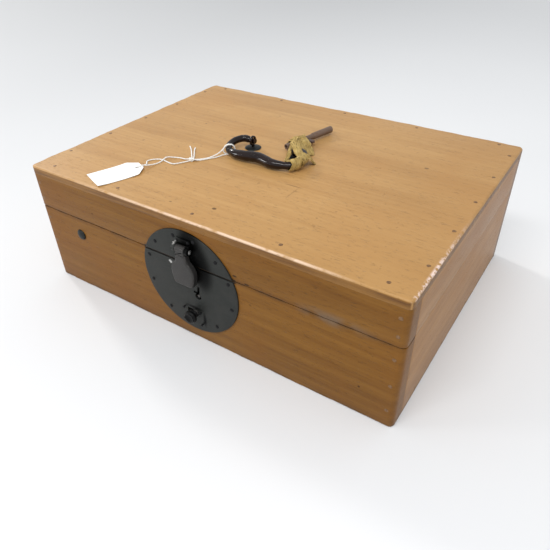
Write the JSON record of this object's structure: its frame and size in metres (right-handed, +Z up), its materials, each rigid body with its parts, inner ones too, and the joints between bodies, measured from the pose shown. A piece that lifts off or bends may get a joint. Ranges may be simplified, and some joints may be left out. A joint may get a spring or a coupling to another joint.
{
  "type": "money box",
  "caption": "Low wooden money box with a back-hinged lid, a round iron lock plate with hasp and sliding knob, a folding bail handle, a tied key and a blank paper tag.",
  "frame": {"origin": "centre of the base, on the surface the box stands on", "axes": "+X to the right of the front, +Y from the front to the back, +Z up"},
  "size_m": [0.4, 0.304, 0.1441],
  "materials": {
    "box_wood": "satin",
    "lid_wood": "satin",
    "peg_wood": "matte",
    "lock_iron": "satin",
    "nail_iron": "matte",
    "worn_steel": "satin",
    "handle_iron": "gloss",
    "key_iron": "satin",
    "cloth": "matte",
    "tag_paper": "matte",
    "string": "matte"
  },
  "bodies": {
    "box": {"base_board": "box_wood", "base_pegs": "peg_wood", "box_front": "box_wood", "box_back": "box_wood", "box_left": "box_wood", "box_right": "box_wood", "box_pegs": "peg_wood", "plate_lower": "lock_iron", "plate_lower_nails": "nail_iron", "knob_plate": "lock_iron", "knob_plate_rivets": "nail_iron", "front_stud": "lock_iron", "lock_back_plate": "lock_iron", "lock_posts": "lock_iron", "key_post": "lock_iron", "bolt_guides": "lock_iron", "bolt_spring": "lock_iron", "hinge_lower_leaves": "lock_iron", "hinge_lower_nails": "nail_iron", "hinge_pins": "lock_iron"},
    "bolt": {"bolt": "lock_iron", "bolt_knob": "handle_iron"},
    "lid": {"top_board": "lid_wood", "top_pegs": "peg_wood", "lid_front": "lid_wood", "lid_back": "lid_wood", "lid_left": "lid_wood", "lid_right": "lid_wood", "lid_pegs": "peg_wood", "plate_upper": "lock_iron", "plate_upper_nails": "nail_iron", "hasp_leaf": "lock_iron", "hasp_leaf_rivets": "nail_iron", "hasp_pin": "worn_steel", "hinge_upper_leaves": "lock_iron", "hinge_upper_nails": "nail_iron", "handle_washers": "handle_iron", "handle_eyes": "handle_iron", "key_stem": "key_iron", "key_bit": "key_iron", "key_handle": "key_iron", "tie_knot": "cloth", "tag": "tag_paper", "tag_string": "string"},
    "hasp": {"hasp": "lock_iron", "hasp_staple": "lock_iron"},
    "handle": {"handle": "handle_iron", "tie_wrap": "cloth", "string_loop": "string"}
  },
  "joints": [
    {"name": "lid_hinge", "type": "hinge", "parent": "box", "child": "lid", "pos_m": [0, 0.143, 0.087], "axis": [-1, 0, 0], "range_deg": [0, 102]},
    {"name": "bolt_slide", "type": "slide", "parent": "box", "child": "bolt", "axis": [-1, 0, 0], "range_m": [0, 0.007]},
    {"name": "hasp_hinge", "type": "hinge", "parent": "lid", "child": "hasp", "pos_m": [-0.0015, -0.1516, 0.1045], "axis": [-1, 0, 0], "range_deg": [0, 150]},
    {"name": "handle_hinge", "type": "hinge", "parent": "lid", "child": "handle", "pos_m": [-0.009, 0.002, 0.139], "axis": [-1, 0, 0], "range_deg": [0, 135]}
  ]
}
